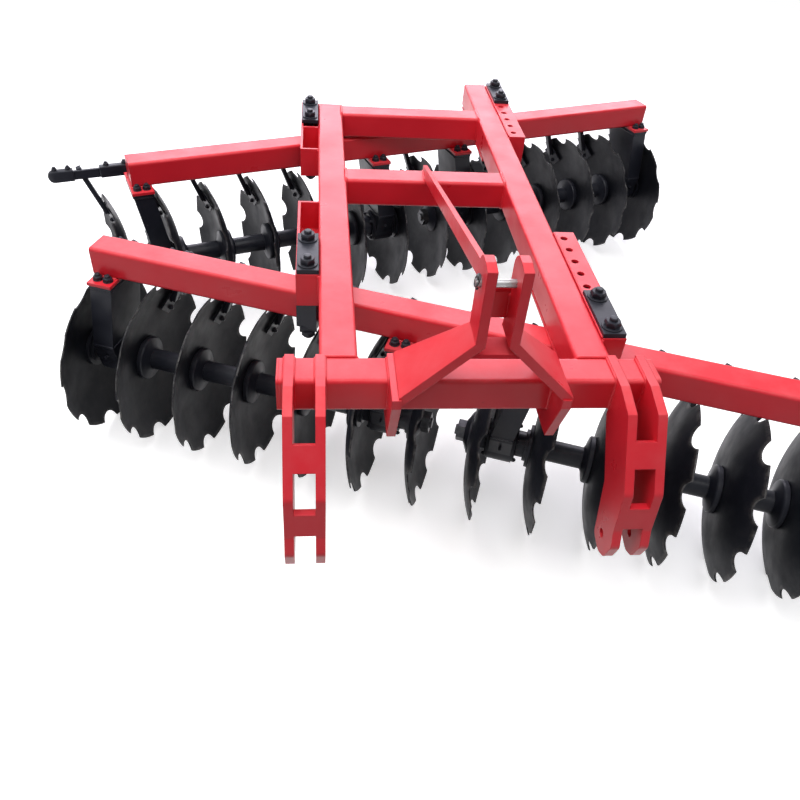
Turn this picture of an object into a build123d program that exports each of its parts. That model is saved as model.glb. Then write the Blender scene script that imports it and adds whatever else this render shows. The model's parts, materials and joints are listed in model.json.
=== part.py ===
from build123d import *
import os
from math import asin, atan, cos, hypot, radians, sin, tan

os.makedirs("parts", exist_ok=True)

# Mounted offset disc harrow, all sizes in millimetres.
# X is across the machine, Y runs from the hitch to the rear, Z is up from the ground.

# Frame of square tube
frame_top = 945.0
tube = 110.0
tube_wall = 8.0
tube_round = 12.0
rail_pitch = 750.0
rear_overhang = 345.0
mid_tube_y = 1234.0
rear_tube_y = 1910.0
cap_thick = 6.0

# Gang beams under the rails
front_centre = (-85.3, 521.5)
front_angle = -19.74
front_beam_left = -1212.0
front_beam_right = 1600.0
rear_centre = (-85.3, 2041.2)
rear_angle = 19.52
rear_beam_left = -1233.0
rear_beam_right = 1528.0

# Discs, spools and axles
disc_radius = 322.0
disc_thick = 6.0
disc_dish = 61.5
disc_flat = 83.0
notch_count = 10
notch_radius = 50.0
notch_centre = 338.0
disc_pitch = 224.6
half_count = 7
front_first_hub = -1328.0
rear_first_hub = -1291.0
axle_side = 40.0
axle_fit = 0.3
spool_bore = 29.5
spool_tube = 41.0
spool_flange = 80.0
flange_thick = 12.0
step_radius = 60.0
step_thick = 12.0
sleeve_radius = 49.0
bearing_clear = 0.05
washer_rim = 7.0
washer_long = 26.0
washer_boss = 42.0
nut_thick = 30.0
nut_radius = 36.0
thread_out = 8.0

# Bearing stands
stand_after = (0, 5)
plate_along = 94.0
plate_across = 222.0
plate_thick = 12.0
flange_rim = 4.0
stand_flange = 14.0
column_along = 84.0
column_across = 206.0
column_wall = 8.0
neck_up = 97.0
neck_lip = 16.0
housing_radius = 78.0
housing_long = 96.0
stand_lean = 45.0
front_bearing_shift = 0.0
rear_bearing_shift = 25.0

# Lower link brackets, outline points from the tube's front face and the frame's top
link_offset = 470.0
link_gap = 60.0
link_plate = 27.0
link_hook = 8.0
link_pin = 28.5
link_pin_at = (-208.0, -420.0)
link_bar = 26.0
link_brow = (-30.0, 8.0)
link_shoulder = (-122.0, -18.0)
link_knee = (-250.0, -208.0)
link_shin = (-264.0, -345.0)
link_toe = ((-284.0, -398.0), (-262.0, -466.0), (-222.0, -486.0), (-165.0, -468.0))
link_heel = (-120.0, -283.0)
link_under = 14.0
link_round = 30.0
upper_bar = (0.33, 0.67)
lower_bar = (0.37, 0.94)
tube_past_link = 15.0

# Top link mast, heights from the frame's top
mast_offset = 19.0
ear_gap = 62.0
mast_plate = 26.0
mast_front = -95.0
ear_depth = 100.0
crown_from_front = 35.0
upper_bend = 200.0
mast_reach = 238.0
foot_high = 19.0
leg_inset = 3.0
pin_height = 351.0
ear_over_pin = 68.0
front_over_pin = 60.0
back_over_pin = 21.0
brace_over_pin = 34.0
pin_diameter = 22.0
pin_fit = 0.1
pin_out = 14.0
pin_head = 36.0
pin_head_thick = 10.0
web_thick = 18.0
web_over_bend = 27.0
web_deep = 78.0
back_high = 110.0
back_thick = 15.0
brace_thick = 17.0
brace_deep = 52.0
brace_end_high = 22.0
brace_far_x = 4.0
brace_foot = 100.0
hook_offset = 8.0
hook_reach = 233.0
hook_plate = 26.0
hook_rise = 15.0
hook_front = -100.0
hook_drop = 178.0
hook_heel = -35.0
hook_chamfer = 17.0

# Clamp boxes and clamps where the beams hang on the rails
box_wide = 75.0
box_wall = 10.0
floor_thick = 10.0
box_front_left = (535.0, 1047.0)
box_rear_left = (1513.0, 2036.0)
box_partition = 232.0
box_front_right = (200.0, 852.0)
box_rear_right = (1715.0, 2362.0)
row_pitch = 79.0
row_count = 5
row_hole = 26.0
row_inset = 28.0
row_end = 47.0
clamp_wide = 72.0
clamp_thick = 16.0
clamp_margin = 40.0
clamp_block = 40.0
clamp_gap = 0.5
strap_wide = 60.0
bolt_diameter = 27.0
bolt_fit = 1.0
bolt_head = 46.0
bolt_head_high = 24.0

# Scrapers behind the discs
bar_deep = 40.0
bar_thick = 12.0
bar_behind = 95.0
bar_under = 42.0
bar_past_hollow = 130.0
bar_past_back = 50.0
lug_long = 60.0
lug_thick = 12.0
lug_inset = 60.0
lug_inner = (-200.0, 300.0)
arm_wide = 30.0
arm_thick = 9.0
arm_lean = 85.0
blade_long = 100.0
blade_wide = 66.0
blade_thick = 6.0
blade_out = 173.0
blade_up = 177.0
blade_clear = 9.0

half_tube = tube / 2
rail_x = rail_pitch / 2
rail_out = rail_x + half_tube
rail_bottom = frame_top - tube
beam_top = rail_bottom - floor_thick
beam_mid = beam_top - half_tube
beam_bottom = beam_top - tube
axle_z = disc_radius
gang_length = (half_count - 1) * disc_pitch
front_tube_half = link_offset + link_gap / 2 + link_plate + tube_past_link

pieces = []


def keep(label, builder):
    builder.part.label = label
    pieces.append(builder.part)


def gang_plane(centre, angle, height):
    """Plane whose x runs along a gang and whose y points to its rear side."""
    along = (cos(radians(angle)), sin(radians(angle)), 0)
    return Plane(origin=(centre[0], centre[1], height), x_dir=along, z_dir=(0, 0, 1))


def along_plane(frame, s):
    """Plane across a gang at the distance s, its normal along the gang."""
    origin = frame.from_local_coords(Vector(s, 0, 0))
    return Plane(origin=origin, x_dir=frame.y_dir, z_dir=frame.x_dir)


def square_tube(plane, length):
    """Hollow square tube with rounded corners, from the plane along its normal."""
    with BuildPart() as section:
        with BuildSketch(plane):
            RectangleRounded(tube, tube, tube_round)
            RectangleRounded(
                tube - 2 * tube_wall,
                tube - 2 * tube_wall,
                tube_round - tube_wall,
                mode=Mode.SUBTRACT,
            )
        extrude(amount=length)
    return section


front_beam_frame = gang_plane(front_centre, front_angle, beam_mid)
rear_beam_frame = gang_plane(rear_centre, rear_angle, beam_mid)
front_axle_frame = gang_plane(front_centre, front_angle, axle_z)
rear_axle_frame = gang_plane(rear_centre, rear_angle, axle_z)

# Rails, cross tubes and beams
left_rail_end = rear_tube_y + tube
right_rail_end = left_rail_end + rear_overhang
tube_z = frame_top - half_tube


def fore_aft(x, y):
    return Plane(origin=(x, y, tube_z), x_dir=(1, 0, 0), z_dir=(0, 1, 0))


def crosswise(x, y):
    return Plane(origin=(x, y + half_tube, tube_z), x_dir=(0, 1, 0), z_dir=(1, 0, 0))


keep("left_rail", square_tube(fore_aft(-rail_x, tube), left_rail_end - tube))
keep("right_rail", square_tube(fore_aft(rail_x, tube), right_rail_end - tube))
keep("front_tube", square_tube(crosswise(-front_tube_half, 0), 2 * front_tube_half))
between = rail_pitch - tube
keep("middle_tube", square_tube(crosswise(-between / 2, mid_tube_y), between))
keep("rear_tube", square_tube(crosswise(-between / 2, rear_tube_y), between))
front_length = front_beam_right - front_beam_left
rear_length = rear_beam_right - rear_beam_left
keep("front_beam", square_tube(along_plane(front_beam_frame, front_beam_left), front_length))
keep("rear_beam", square_tube(along_plane(rear_beam_frame, rear_beam_left), rear_length))

# Caps that close the open tube ends
with BuildPart() as caps:
    ends = [
        crosswise(-front_tube_half - cap_thick, 0),
        crosswise(front_tube_half, 0),
        fore_aft(-rail_x, left_rail_end),
        fore_aft(rail_x, right_rail_end),
        along_plane(front_beam_frame, front_beam_left - cap_thick),
        along_plane(front_beam_frame, front_beam_right),
        along_plane(rear_beam_frame, rear_beam_left - cap_thick),
        along_plane(rear_beam_frame, rear_beam_right),
    ]
    for end in ends:
        with BuildSketch(end):
            RectangleRounded(tube, tube, tube_round)
        extrude(amount=cap_thick)
keep("end_caps", caps)


# Lower link brackets: two profiled plates with cross bars, hooked over the front tube
def link_bracket(x):
    inner = link_gap / 2
    side = Plane(origin=(x, 0, frame_top), x_dir=(0, 1, 0), z_dir=(1, 0, 0))
    with BuildPart() as bracket:
        with BuildSketch(side.offset(inner)) as plate:
            with BuildLine():
                Polyline(
                    (tube, 0),
                    (tube, link_hook),
                    link_brow,
                    link_shoulder,
                    link_knee,
                    link_shin,
                    *link_toe,
                    link_heel,
                    (0, -tube - link_under),
                    (0, 0),
                    close=True,
                )
            make_face()
            fillet([v for v in plate.vertices() if v.Y <= link_knee[1]], link_round)
            with Locations(link_pin_at):
                Circle(link_pin / 2, mode=Mode.SUBTRACT)
        extrude(amount=link_plate)
        mirror(about=side)
        bars = ((link_shoulder, link_knee, upper_bar), (link_knee, link_shin, lower_bar))
        for start, end, part in bars:
            top, foot = Vector(*start), Vector(*end)
            run = foot - top
            deep = Vector(-run.Y, run.X).normalized() * link_bar
            first = top + run * part[0]
            last = top + run * part[1]
            with BuildSketch(side.offset(-inner)):
                with BuildLine():
                    Polyline(first, last, last + deep, first + deep, close=True)
                make_face()
            extrude(amount=link_gap)
    return bracket


keep("lower_link_left", link_bracket(-link_offset))
keep("lower_link_right", link_bracket(link_offset))

# Mast: two plates bent outwards over the tube, cut to one side outline
ear_in = ear_gap / 2
ear_out = ear_in + mast_plate
ear_back = mast_front + ear_depth
ear_middle = mast_front + ear_depth / 2
ear_top = pin_height + ear_over_pin
ear_front_top = pin_height + front_over_pin
ear_back_top = pin_height + back_over_pin
leg_slope = (upper_bend - foot_high) / (mast_reach - ear_out)
inner_bend = upper_bend - mast_plate * tan(atan(1 / leg_slope) / 2)
foot_low = inner_bend - (mast_reach - ear_in) * leg_slope
leg_back = tube - leg_inset
mast_face = Plane(origin=(mast_offset, 0, frame_top), x_dir=(1, 0, 0), z_dir=(0, -1, 0))
mast_side_on = Plane(origin=(mast_offset, 0, frame_top), x_dir=(0, 1, 0), z_dir=(1, 0, 0))


def mast_side(sign):
    with BuildPart() as plate:
        with BuildSketch(mast_face):
            with BuildLine():
                Polyline(
                    (sign * ear_in, ear_top),
                    (sign * ear_out, ear_top),
                    (sign * ear_out, upper_bend),
                    (sign * mast_reach, foot_high),
                    (sign * mast_reach, foot_low),
                    (sign * ear_in, inner_bend),
                    close=True,
                )
            make_face()
        extrude(amount=2 * tube, both=True)
        with BuildSketch(mast_side_on):
            with BuildLine():
                Polyline(
                    (mast_front + crown_from_front, ear_top),
                    (mast_front, ear_front_top),
                    (mast_front, foot_low),
                    (0, foot_low),
                    (0, 0),
                    (leg_back, 0),
                    (leg_back, foot_high),
                    (ear_back, upper_bend),
                    (ear_back, ear_back_top),
                )
                TangentArc(
                    (ear_back, ear_back_top),
                    (mast_front + crown_from_front, ear_top),
                    tangent=(0, 1),
                )
            make_face()
            with Locations((ear_middle, pin_height)):
                Circle(pin_diameter / 2 + pin_fit, mode=Mode.SUBTRACT)
        extrude(amount=sign * mast_reach, mode=Mode.INTERSECT)
    return plate


mast_left = mast_side(-1)
mast_right = mast_side(1)
keep("mast_left", mast_left)
keep("mast_right", mast_right)

# Web between the ears and the leaning back plate between the legs
with BuildPart() as web:
    with BuildSketch(Plane.XY.offset(frame_top + upper_bend + web_over_bend)):
        with Locations((mast_offset, ear_back - web_thick / 2)):
            Rectangle(ear_gap, web_thick)
    extrude(amount=web_deep)
keep("mast_web", web)

back_run = (leg_back - ear_back) / (upper_bend - foot_high)
back_lean = back_run * (back_high - foot_high)
back_low_half = ear_in + inner_bend / leg_slope
back_top_half = ear_in + (inner_bend - back_high) / leg_slope
with BuildPart() as back:
    with BuildSketch(mast_face):
        with BuildLine():
            Polyline(
                (-back_low_half, 0),
                (back_low_half, 0),
                (back_top_half, back_high),
                (-back_top_half, back_high),
                close=True,
            )
        make_face()
    extrude(amount=2 * tube, both=True)
    with BuildSketch(mast_side_on):
        with BuildLine():
            Polyline(
                (leg_back - back_thick, 0),
                (leg_back, 0),
                (leg_back - back_lean, back_high),
                (leg_back - back_lean - back_thick, back_high),
                close=True,
            )
        make_face()
    extrude(amount=mast_reach, both=True, mode=Mode.INTERSECT)
keep("mast_back", back)

# Hooks that hold the feet of the mast round the front tube
with BuildPart() as hooks:
    for sign in (-1, 1):
        middle = hook_offset + sign * hook_reach
        hook_side = Plane(origin=(middle, 0, frame_top), x_dir=(0, 1, 0), z_dir=(1, 0, 0))
        with BuildSketch(hook_side):
            with BuildLine():
                Polyline(
                    (leg_back, 0),
                    (leg_back, hook_rise),
                    (hook_front, hook_rise),
                    (hook_front, -hook_rise),
                    (hook_heel, -hook_drop),
                    (leg_back - hook_chamfer, -hook_drop),
                    (leg_back, hook_chamfer - hook_drop),
                    (leg_back, -tube),
                    (0, -tube),
                    (0, 0),
                    close=True,
                )
            make_face()
        extrude(amount=hook_plate / 2, both=True)
    add(mast_left.part, mode=Mode.SUBTRACT)
    add(mast_right.part, mode=Mode.SUBTRACT)
    add(back.part, mode=Mode.SUBTRACT)
keep("mast_hooks", hooks)

# Brace from the back of the left ear to the middle tube
brace_high = pin_height + brace_over_pin
brace_from = Vector(mast_offset - ear_in - mast_plate / 2, ear_back)
brace_end_y = mid_tube_y + tube - leg_inset
brace_run = Vector(brace_far_x, brace_end_y) - brace_from
brace_way = brace_run.normalized()
brace_long = brace_run.length
brace_start = brace_thick / 2 * abs(brace_way.X / brace_way.Y)
brace_side = Plane(
    origin=(brace_from.X, brace_from.Y, frame_top),
    x_dir=(brace_way.X, brace_way.Y, 0),
    z_dir=(brace_way.Y, -brace_way.X, 0),
)
with BuildPart() as brace:
    with BuildSketch(brace_side):
        with BuildLine():
            Polyline(
                (brace_start, brace_high),
                (brace_start, brace_high - brace_deep),
                (brace_long - brace_foot, 0),
                (brace_long, 0),
                (brace_long, brace_end_high),
                close=True,
            )
        make_face()
    extrude(amount=brace_thick / 2, both=True)
keep("mast_brace", brace)

# Top link pin with a head on its right end
with BuildPart() as pin:
    pin_line = mast_side_on.shift_origin(
        mast_side_on.from_local_coords(Vector(ear_middle, pin_height, 0))
    )
    with BuildSketch(pin_line.offset(-ear_out - pin_out)):
        Circle(pin_diameter / 2)
    extrude(amount=2 * ear_out + pin_out)
    with BuildSketch(pin_line.offset(ear_out)):
        Circle(pin_head / 2)
    extrude(amount=pin_head_thick)
keep("top_link_pin", pin)


# Clamp boxes on the outer sides of the rails
def crossing(centre, angle, x):
    """Distance along Y at which a beam passes under the line x."""
    return centre[1] + (x - centre[0]) * tan(radians(angle))


box_x = rail_out + box_wide / 2
floor_wide = tube + box_wide
floor_x = rail_out + box_wide - floor_wide / 2
clamp_x = rail_out + clamp_wide / 2
front_gang = (front_centre, front_angle)
rear_gang = (rear_centre, rear_angle)


def clamp_spot(x, gang):
    """Middle of a clamp, its two bolts on either side of the beam, and the beam's angle."""
    middle = crossing(*gang, x)
    reach = (half_tube + clamp_gap + clamp_block / 2) / cos(radians(gang[1]))
    return (x, middle), ((x, middle - reach), (x, middle + reach)), gang[1], reach


left_front = clamp_spot(-clamp_x, front_gang)
left_rear = clamp_spot(-clamp_x, rear_gang)
right_front = clamp_spot(clamp_x, front_gang)
right_rear = clamp_spot(clamp_x, rear_gang)
clamp_spots = (left_front, left_rear, right_front, right_rear)
bolt_hole = bolt_diameter / 2 + bolt_fit


def clamp_box(sign, span, bolts_at):
    """Outer wall and end walls beside a rail, on a floor that also lies under the rail."""
    middle = (span[0] + span[1]) / 2
    long = span[1] - span[0]
    with BuildPart() as box:
        with BuildSketch(Plane.XY.offset(rail_bottom)):
            with Locations((sign * box_x, middle)):
                Rectangle(box_wide, long)
            with Locations((sign * (box_x - box_wall / 2), middle)):
                Rectangle(box_wide - box_wall, long - 2 * box_wall, mode=Mode.SUBTRACT)
        extrude(amount=tube)
        with BuildSketch(Plane.XY.offset(beam_top)):
            with Locations((sign * floor_x, middle)):
                Rectangle(floor_wide, long)
            with Locations(*bolts_at):
                Circle(bolt_hole, mode=Mode.SUBTRACT)
        extrude(amount=floor_thick)
    return box.part


with BuildPart() as left_boxes:
    add(clamp_box(-1, box_front_left, left_front[1]))
    add(clamp_box(-1, box_rear_left, left_rear[1]))
    with BuildSketch(Plane.XY.offset(rail_bottom)):
        with Locations((-box_x, box_rear_left[0] + box_partition + box_wall / 2)):
            Rectangle(box_wide, box_wall)
    extrude(amount=tube)
keep("clamp_boxes_left", left_boxes)

with BuildPart() as right_boxes:
    rows = (
        (box_front_right, right_front, box_front_right[1] - row_end, -1),
        (box_rear_right, right_rear, box_rear_right[0] + row_end, 1),
    )
    for span, spot, first_hole, way in rows:
        add(clamp_box(1, span, spot[1]))
        with BuildSketch(Plane.XY.offset(frame_top)):
            with Locations((box_x, (span[0] + span[1]) / 2)):
                Rectangle(box_wide, span[1] - span[0])
            for k in range(row_count):
                with Locations((rail_out + row_inset, first_hole + way * k * row_pitch)):
                    Circle(row_hole / 2, mode=Mode.SUBTRACT)
            with Locations(*spot[1]):
                Circle(bolt_hole, mode=Mode.SUBTRACT)
        extrude(amount=-box_wall)
keep("clamp_boxes_right", right_boxes)

with BuildPart() as plates:
    for middle, bolts_at, _, reach in clamp_spots:
        with BuildSketch(Plane.XY.offset(frame_top)):
            with Locations(middle):
                Rectangle(clamp_wide, 2 * (reach + clamp_margin))
            with Locations(*bolts_at):
                Circle(bolt_hole, mode=Mode.SUBTRACT)
        extrude(amount=clamp_thick)
keep("clamp_plates", plates)

# Blocks on both sides of each beam, joined by a strap under it
with BuildPart() as blocks:
    for middle, bolts_at, angle, reach in clamp_spots:
        with BuildSketch(Plane.XY.offset(beam_bottom - clamp_thick)):
            with Locations(middle):
                Rectangle(strap_wide, 2 * reach + clamp_block)
        extrude(amount=clamp_thick)
        with BuildSketch(Plane.XY.offset(beam_bottom)):
            with Locations(*bolts_at):
                Rectangle(clamp_wide, clamp_block, rotation=angle)
        extrude(amount=tube - clamp_gap)
        with BuildSketch(Plane.XY.offset(beam_bottom - clamp_thick)):
            with Locations(*bolts_at):
                Circle(bolt_hole)
        extrude(amount=tube + clamp_thick, mode=Mode.SUBTRACT)
keep("clamp_blocks", blocks)

bolt_low = beam_bottom - clamp_thick
bolt_high = frame_top + clamp_thick
with BuildPart() as bolts:
    for _, bolts_at, _, _ in clamp_spots:
        with BuildSketch(Plane.XY.offset(bolt_low)):
            with Locations(*bolts_at):
                Circle(bolt_diameter / 2)
        extrude(amount=bolt_high - bolt_low)
        for height, way in ((bolt_high, 1), (bolt_low, -1)):
            with BuildSketch(Plane.XY.offset(height)):
                with Locations(*bolts_at):
                    RegularPolygon(bolt_head / 2, 6, major_radius=False)
            extrude(amount=way * bolt_head_high)
keep("clamp_bolts", bolts)

# One notched disc, its axis along Z, hollow side up
with BuildPart() as disc:
    with BuildSketch(Plane.XZ):
        with BuildLine():
            Line((0, disc_thick), (0, 0))
            Line((0, 0), (disc_flat, 0))
            TangentArc((disc_flat, 0), (disc_radius, disc_dish), tangent=(1, 0))
            Line((disc_radius, disc_dish), (disc_radius, disc_dish + disc_thick))
            TangentArc(
                (disc_flat, disc_thick),
                (disc_radius, disc_dish + disc_thick),
                tangent=(1, 0),
            )
            Line((disc_flat, disc_thick), (0, disc_thick))
        make_face()
    revolve(axis=Axis.Z)
    with BuildSketch(Plane.XY):
        with PolarLocations(notch_centre, notch_count):
            Circle(notch_radius)
        Rectangle(axle_side + 2 * axle_fit, axle_side + 2 * axle_fit)
    extrude(amount=disc_dish + 2 * disc_thick, mode=Mode.SUBTRACT)

spool_long = disc_pitch - disc_thick


def spool_profile(sleeve):
    """Spool turned about Z: stepped flanges at both ends of a tube."""
    rim = flange_thick
    step = flange_thick + step_thick
    with BuildPart() as turned:
        with BuildSketch(Plane.XZ):
            with BuildLine():
                Polyline(
                    (spool_bore, 0),
                    (spool_flange, 0),
                    (spool_flange, rim),
                    (step_radius, rim),
                    (step_radius, step),
                    (sleeve, step),
                    (sleeve, spool_long - step),
                    (step_radius, spool_long - step),
                    (step_radius, spool_long - rim),
                    (spool_flange, spool_long - rim),
                    (spool_flange, spool_long),
                    (spool_bore, spool_long),
                    close=True,
                )
            make_face()
        revolve(axis=Axis.Z)
    return turned


plain_spool = spool_profile(spool_tube)
bearing_spool = spool_profile(sleeve_radius)

# End washer that holds the outer discs, wide face at z = 0
with BuildPart() as washer:
    with BuildSketch(Plane.XZ):
        with BuildLine():
            Polyline(
                (spool_bore, 0),
                (spool_flange, 0),
                (spool_flange, washer_rim),
                (washer_boss, washer_long),
                (spool_bore, washer_long),
                close=True,
            )
        make_face()
    revolve(axis=Axis.Z)


# Half gangs: seven discs clamped on one square axle
def half_gang(name, frame, first_hub, hollow, bearings):
    """hollow is +1 where the discs open towards +s and -1 where they open towards -s."""
    hub = along_plane(frame, first_hub)
    far = first_hub + gang_length
    if hollow < 0:
        hub = Plane(
            origin=frame.from_local_coords(Vector(far, 0, 0)),
            x_dir=frame.y_dir,
            z_dir=-frame.x_dir,
        )
    with BuildPart() as discs:
        with Locations(*[hub.offset(k * disc_pitch).location for k in range(half_count)]):
            add(disc.part)
    keep(name + "_discs", discs)
    with BuildPart() as spools:
        for k in range(half_count - 1):
            with Locations(hub.offset(k * disc_pitch + disc_thick).location):
                add(bearing_spool.part if k in bearings else plain_spool.part)
        with Locations(hub.offset(gang_length + disc_thick).location):
            add(washer.part)
        back = Plane(origin=hub.origin, x_dir=hub.x_dir, z_dir=-hub.z_dir)
        with Locations(back.location):
            add(washer.part)
    keep(name + "_spools", spools)
    low = -washer_long
    high = gang_length + disc_thick + washer_long
    with BuildPart() as axle:
        with BuildSketch(hub.offset(low)):
            Rectangle(axle_side, axle_side)
        extrude(amount=high - low)
        for start, way in ((low, -1), (high, 1)):
            with BuildSketch(hub.offset(start)):
                RegularPolygon(nut_radius, 6, major_radius=False)
            extrude(amount=way * nut_thick)
            with BuildSketch(hub.offset(start + way * nut_thick)):
                Circle(axle_side / 2)
            extrude(amount=way * thread_out)
    keep(name + "_axle", axle)


next_half = half_count * disc_pitch
flip = tuple(half_count - 2 - k for k in stand_after)
half_gang("front_left", front_axle_frame, front_first_hub, 1, stand_after)
half_gang("front_right", front_axle_frame, front_first_hub + next_half, 1, stand_after)
half_gang("rear_left", rear_axle_frame, rear_first_hub, -1, flip)
half_gang("rear_right", rear_axle_frame, rear_first_hub + next_half, -1, flip)


# Bearing stands: plate under the beam, hollow leaning column, housing round the spool
def stands(name, beam_frame, first_hub, hollow, bearing_shift):
    spots = []
    for half in (0, next_half):
        for k in stand_after:
            middle = first_hub + half + (k + 0.5) * disc_pitch + hollow * disc_thick / 2
            spots.append(middle + bearing_shift)
    lean = hollow * stand_lean
    under = Plane(
        origin=beam_frame.origin - Vector(0, 0, half_tube),
        x_dir=beam_frame.x_dir,
        z_dir=(0, 0, 1),
    )
    with BuildPart() as tops:
        with BuildSketch(under):
            with Locations(*[(s + lean, 0) for s in spots]):
                Rectangle(plate_along, plate_across)
        extrude(amount=-plate_thick)
    keep("stand_plates_" + name, tops)
    axle = under.offset(axle_z - beam_bottom)
    with BuildPart() as columns:
        with BuildSketch(under.offset(-plate_thick)):
            with Locations(*[(s + lean, 0) for s in spots]):
                Rectangle(plate_along - 2 * flange_rim, plate_across - 2 * flange_rim)
        extrude(amount=-stand_flange)
        for s in spots:
            for wall, mode in ((0, Mode.ADD), (column_wall, Mode.SUBTRACT)):
                with BuildSketch(under.offset(-plate_thick - stand_flange)):
                    with Locations((s + lean, 0)):
                        Rectangle(column_along - 2 * wall, column_across - 2 * wall)
                with BuildSketch(axle.offset(neck_up)):
                    with Locations((s, 0)):
                        Rectangle(column_along - 2 * wall, column_across - 2 * wall)
                loft(mode=mode)
            across = along_plane(axle, s)
            with BuildSketch(across):
                with BuildLine():
                    Polyline(
                        (-column_across / 2, neck_up),
                        (column_across / 2, neck_up),
                        (column_across / 2, neck_up - neck_lip),
                        (housing_radius, 0),
                        (-housing_radius, 0),
                        (-column_across / 2, neck_up - neck_lip),
                        close=True,
                    )
                make_face()
            extrude(amount=column_along / 2, both=True)
            with BuildSketch(across):
                Circle(housing_radius)
            extrude(amount=housing_long / 2, both=True)
            with BuildSketch(across):
                Circle(sleeve_radius + bearing_clear)
            extrude(amount=housing_long, both=True, mode=Mode.SUBTRACT)
    keep("stands_" + name, columns)


stands("front", front_beam_frame, front_first_hub, 1, front_bearing_shift)
stands("rear", rear_beam_frame, rear_first_hub, -1, rear_bearing_shift)


# Scrapers: a bar behind the beam carries one arm and blade for each disc
dish_arc = ((disc_radius - disc_flat) ** 2 + disc_dish**2) / (2 * disc_dish)


def scrapers(name, frame, first_hub, hollow, beam_ends):
    """Blades lie on the hollow side of the discs, each square to the disc under it."""
    radius = hypot(blade_out, blade_up)
    slope = asin((radius - disc_flat) / dish_arc)
    depth = dish_arc * (1 - cos(slope))
    lift = blade_clear + blade_thick / 2
    blade_s = hollow * (disc_thick + depth + lift * cos(slope))
    shrink = 1 - lift * sin(slope) / radius
    blade_n = blade_out * shrink
    blade_z = axle_z + blade_up * shrink - beam_mid
    bar_n = half_tube + bar_behind
    bar_top = -bar_under
    first_arm = first_hub + blade_s + hollow * arm_lean
    last_arm = first_arm + (2 * half_count - 1) * disc_pitch
    low = first_arm - (bar_past_back if hollow > 0 else bar_past_hollow)
    high = last_arm + (bar_past_hollow if hollow > 0 else bar_past_back)
    with BuildPart() as bar:
        with BuildSketch(along_plane(frame, low)):
            with Locations((bar_n + bar_thick / 2, bar_top - bar_deep / 2)):
                Rectangle(bar_thick, bar_deep)
        extrude(amount=high - low)
    keep("scraper_bar_" + name, bar)
    with BuildPart() as lugs:
        for s in (beam_ends[0] + lug_inset, *lug_inner, beam_ends[1] - lug_inset):
            with BuildSketch(along_plane(frame, s - lug_long / 2)):
                with Locations((half_tube + bar_behind / 2, bar_top - lug_thick / 2)):
                    Rectangle(bar_behind, lug_thick)
            extrude(amount=lug_long)
    keep("scraper_lugs_" + name, lugs)
    normal = frame.x_dir * (hollow * cos(slope))
    normal -= frame.y_dir * (sin(slope) * blade_out / radius)
    normal -= Vector(0, 0, sin(slope) * blade_up / radius)
    across = Vector(0, 0, blade_out / radius) - frame.y_dir * (blade_up / radius)
    arm_face = Plane(
        origin=frame.from_local_coords(Vector(0, bar_n + bar_thick, 0)),
        x_dir=frame.x_dir,
        z_dir=-frame.y_dir,
    )
    with BuildPart() as arms:
        for k in range(2 * half_count):
            s = first_hub + k * disc_pitch + blade_s
            with BuildSketch(arm_face):
                with BuildLine():
                    Polyline(
                        (s, blade_z),
                        (s + hollow * arm_thick, blade_z),
                        (s + hollow * (arm_lean + arm_thick), bar_top),
                        (s + hollow * arm_lean, bar_top),
                        close=True,
                    )
                make_face()
            extrude(amount=-arm_wide)
            seat = frame.from_local_coords(Vector(s, blade_n, blade_z))
            with BuildSketch(Plane(origin=seat, x_dir=across, z_dir=normal)):
                Rectangle(blade_wide, blade_long)
            extrude(amount=blade_thick / 2, both=True)
    keep("scrapers_" + name, arms)


scrapers("front", front_beam_frame, front_first_hub, 1, (front_beam_left, front_beam_right))
scrapers("rear", rear_beam_frame, rear_first_hub, -1, (rear_beam_left, rear_beam_right))

# Origin on the ground below the middle of the whole harrow
boxes = [piece.bounding_box() for piece in pieces]
low_x = min(box.min.X for box in boxes)
high_x = max(box.max.X for box in boxes)
low_y = min(box.min.Y for box in boxes)
high_y = max(box.max.Y for box in boxes)
low_z = min(box.min.Z for box in boxes)
shift_x = -round((low_x + high_x) / 2, 1)
shift_y = -round((low_y + high_y) / 2, 1)
to_origin = Location((shift_x, shift_y, 0))
for piece in pieces:
    placed = piece.moved(to_origin)
    placed.label = piece.label
    export_step(placed, "parts/" + piece.label + ".step")

print("shift", shift_x, shift_y, "lowest", low_z)
print("size", high_x - low_x, high_y - low_y, max(box.max.Z for box in boxes) - low_z)
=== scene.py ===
import bmesh
import bpy
import json
import math
import numpy as np
from mathutils import Matrix


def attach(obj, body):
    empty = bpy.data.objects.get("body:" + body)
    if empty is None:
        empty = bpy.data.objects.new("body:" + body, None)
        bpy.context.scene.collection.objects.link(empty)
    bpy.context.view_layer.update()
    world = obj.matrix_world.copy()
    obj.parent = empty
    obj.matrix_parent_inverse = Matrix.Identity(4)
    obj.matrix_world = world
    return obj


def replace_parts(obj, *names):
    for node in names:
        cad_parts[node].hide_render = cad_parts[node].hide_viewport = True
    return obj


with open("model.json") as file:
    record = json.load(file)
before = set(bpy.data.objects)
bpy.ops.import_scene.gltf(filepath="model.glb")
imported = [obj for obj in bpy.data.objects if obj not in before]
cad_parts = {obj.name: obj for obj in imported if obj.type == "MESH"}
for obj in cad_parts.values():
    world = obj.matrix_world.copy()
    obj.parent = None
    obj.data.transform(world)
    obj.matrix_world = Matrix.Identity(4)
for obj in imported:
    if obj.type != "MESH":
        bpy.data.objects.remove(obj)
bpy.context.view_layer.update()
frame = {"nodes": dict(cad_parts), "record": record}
nodes = frame["nodes"]

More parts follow.
